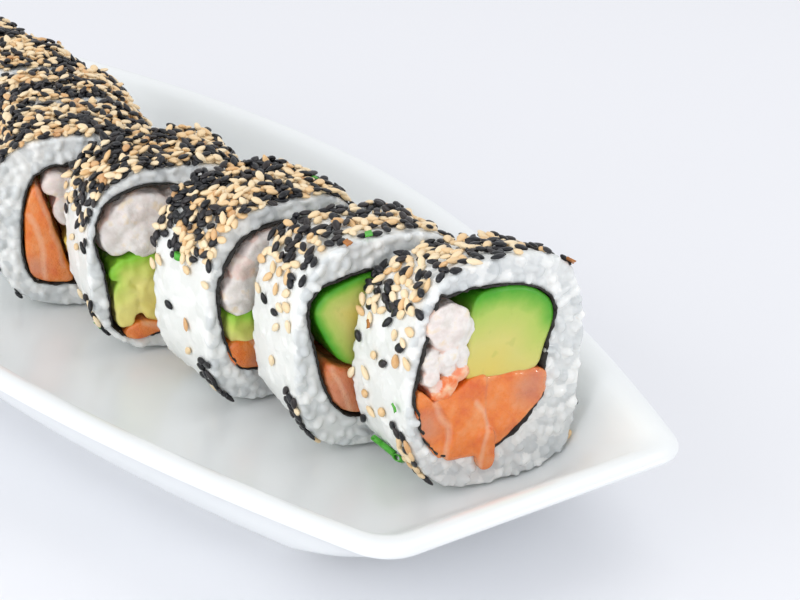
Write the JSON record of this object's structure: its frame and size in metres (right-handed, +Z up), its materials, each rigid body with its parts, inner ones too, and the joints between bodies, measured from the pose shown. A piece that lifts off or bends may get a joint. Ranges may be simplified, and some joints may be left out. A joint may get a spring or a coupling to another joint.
{
  "type": "sushi roll platter",
  "caption": "Inside-out sushi roll, cut in slices and set in a row on a long boat-shaped white porcelain plate.",
  "frame": {"origin": "middle of the plate, on the surface it stands on", "axes": "+X along the plate towards the first slice of the row, +Y across the plate, +Z up"},
  "size_m": [0.3376, 0.1542, 0.0616],
  "materials": {
    "porcelain": "glossy white glaze",
    "rice": "moist translucent white grains",
    "nori": "near-black, slightly wrinkled",
    "avocado": "satin, green rim fading to yellow",
    "salmon": "wet, with pale fat lines",
    "shrimp": "moist white flesh with pink-orange skin",
    "sesame_black": "satin",
    "sesame_tan": "satin, toasted",
    "herb": "moist green"
  },
  "bodies": {
    "root": {"plate": "porcelain", "rice_1": "rice", "rice_2": "rice", "rice_3": "rice", "rice_4": "rice", "rice_5": "rice", "rice_6": "rice", "rice_7": "rice", "rice_8": "rice", "nori_1": "nori", "nori_2": "nori", "nori_3": "nori", "nori_4": "nori", "nori_5": "nori", "nori_6": "nori", "nori_7": "nori", "nori_8": "nori", "avocado_1": "avocado", "avocado_2": "avocado", "avocado_3": "avocado", "avocado_4": "avocado", "avocado_5": "avocado", "avocado_6": "avocado", "avocado_7": "avocado", "avocado_8": "avocado", "salmon_1": "salmon", "salmon_2": "salmon", "salmon_3": "salmon", "salmon_4": "salmon", "salmon_5": "salmon", "salmon_6": "salmon", "salmon_7": "salmon", "salmon_8": "salmon", "shrimp_1": "shrimp", "shrimp_2": "shrimp", "shrimp_3": "shrimp", "shrimp_4": "shrimp", "shrimp_5": "shrimp", "shrimp_6": "shrimp", "shrimp_7": "shrimp", "shrimp_8": "shrimp"}
  },
  "joints": []
}
